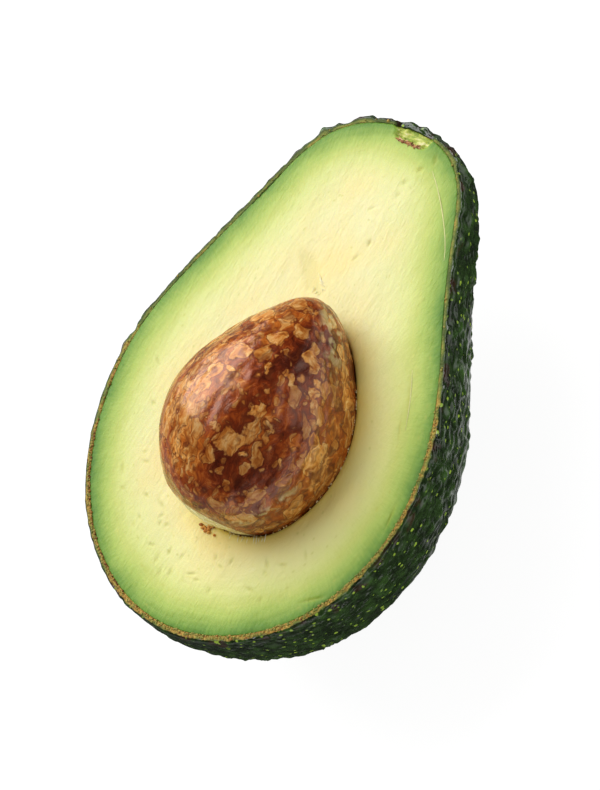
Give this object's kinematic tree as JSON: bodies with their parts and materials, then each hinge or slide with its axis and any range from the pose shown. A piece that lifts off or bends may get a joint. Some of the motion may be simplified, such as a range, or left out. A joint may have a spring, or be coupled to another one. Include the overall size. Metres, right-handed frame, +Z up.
{
  "type": "avocado half",
  "caption": "Lengthwise half of a dark green, pebbly-skinned avocado lying cut face up, its glossy mottled brown seed still set in the pale yellow-green flesh.",
  "frame": {"origin": "on the surface the half rests on, under the middle of its width and length", "axes": "+Y from the blossom end to the stem end, +Z up, square to the cut face, +X to the right of the stem end seen from above"},
  "size_m": [0.0762, 0.104, 0.059],
  "materials": {
    "skin": "semi-gloss, pebbled",
    "flesh": "moist satin",
    "seed": "glossy, mottled",
    "stem_scar": "dry, fibrous"
  },
  "bodies": {
    "root": {"skin": "skin", "flesh": "flesh", "seed": "seed", "stem_scar": "stem_scar"}
  },
  "joints": []
}
